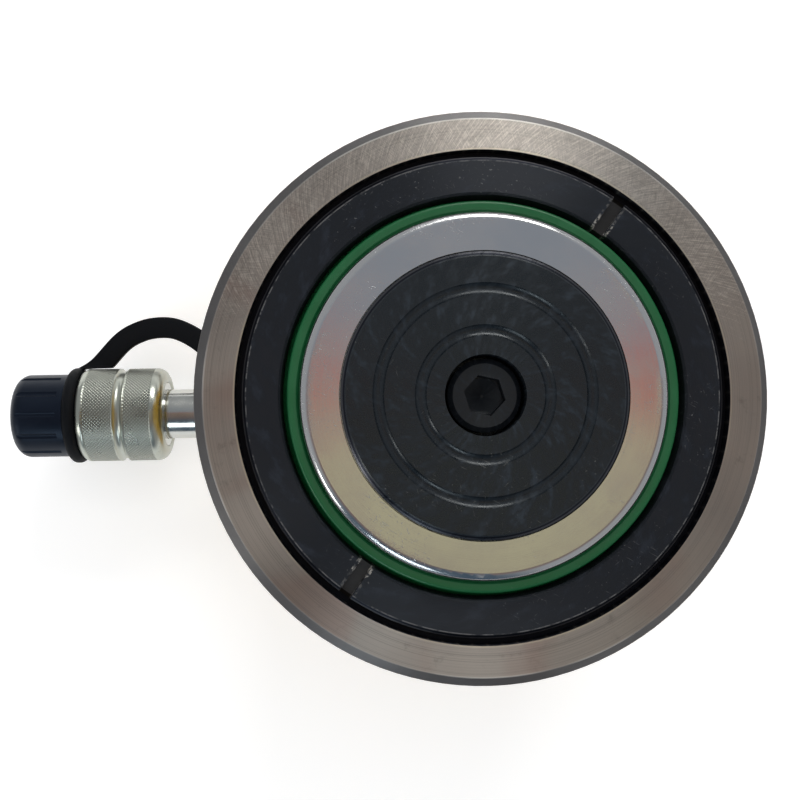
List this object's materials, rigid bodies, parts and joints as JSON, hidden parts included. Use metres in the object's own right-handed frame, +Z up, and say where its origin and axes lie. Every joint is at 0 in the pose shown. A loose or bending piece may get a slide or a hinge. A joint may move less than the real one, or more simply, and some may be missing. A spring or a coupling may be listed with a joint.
{
  "type": "collar thread hydraulic cylinder",
  "caption": "Single-acting spring-return hydraulic cylinder with collar thread, grooved saddle, quick coupler and tethered dust cap, for lifting and pressing.",
  "frame": {"origin": "middle of the base face", "axes": "+Z up along the plunger, towards the saddle; the coupler leaves the body along -X"},
  "size_m": [0.2103, 0.127, 0.176],
  "materials": {
    "body_paint": "gloss enamel, with the rim and the collar thread bare turned steel",
    "black_oxide": "black oxide, worn at its edges",
    "wiper_green": "satin polyurethane",
    "bronze_band": "satin bronze-filled",
    "plunger_chrome": "hard chrome plate",
    "machined_steel": "machined",
    "spring_steel": "oiled",
    "seal_rubber": "satin",
    "cup_seal": "satin polyurethane",
    "backup_plastic": "matt",
    "saddle_black": "black oxide, satin",
    "screw_black": "black oxide",
    "zinc_plate": "bright zinc plate",
    "sleeve_zinc": "zinc plate, knurled",
    "brass_trim": "machined",
    "cap_plastic": "moulded, satin",
    "strap_rubber": "matt"
  },
  "bodies": {
    "cylinder": {"cylinder_body": "body_paint", "stop_ring": "black_oxide", "wiper_ring": "wiper_green", "guide_band": "bronze_band", "spring_base_anchor": "machined_steel", "base_anchor_screw": "screw_black", "return_spring": "spring_steel", "pipe_nipple": "zinc_plate", "coupler_body": "zinc_plate", "coupler_seal": "seal_rubber", "poppet_guide": "brass_trim", "poppet_spring": "spring_steel", "tether_strap": "strap_rubber"},
    "plunger_assembly": {"plunger": "plunger_chrome", "piston": "machined_steel", "piston_snap_ring": "spring_steel", "piston_o_ring": "seal_rubber", "piston_cup_seal": "cup_seal", "piston_backup_ring": "backup_plastic", "piston_wear_band": "bronze_band", "saddle": "saddle_black", "saddle_screw": "screw_black", "spring_top_anchor": "machined_steel"},
    "sleeve": {"coupler_sleeve": "sleeve_zinc", "sleeve_retaining_ring": "spring_steel"},
    "poppet": {"coupler_poppet": "zinc_plate"},
    "cap_carrier": {"tether_cap_ring": "strap_rubber"},
    "cap": {"dust_cap": "cap_plastic", "dust_cap_gasket": "seal_rubber"}
  },
  "joints": [
    {"name": "plunger_stroke", "type": "slide", "parent": "cylinder", "child": "plunger_assembly", "axis": [0, 0, 1], "range_m": [0, 0.051], "stiffness_N_per_m": 3000, "springref_m": -0.02, "deforming": ["return_spring"]},
    {"name": "sleeve_spin", "type": "hinge", "parent": "cylinder", "child": "sleeve", "pos_m": [-0.1, 0, 0.033], "axis": [-1, 0, 0], "continuous": true},
    {"name": "poppet_travel", "type": "slide", "parent": "cylinder", "child": "poppet", "axis": [1, 0, 0], "range_m": [0, 0.0022], "stiffness_N_per_m": 2000, "springref_m": -0.003, "deforming": ["poppet_spring"]},
    {"name": "cap_travel", "type": "slide", "parent": "cylinder", "child": "cap_carrier", "axis": [-1, 0, 0], "range_m": [0, 0.0095]},
    {"name": "cap_turn", "type": "hinge", "parent": "cap_carrier", "child": "cap", "pos_m": [-0.13, 0, 0.033], "axis": [-1, 0, 0], "range_deg": [0, 1368]}
  ],
  "couplings": [
    {"joint": "cap_travel", "follows": "cap_turn", "m_per_rad": 0.00039789}
  ]
}
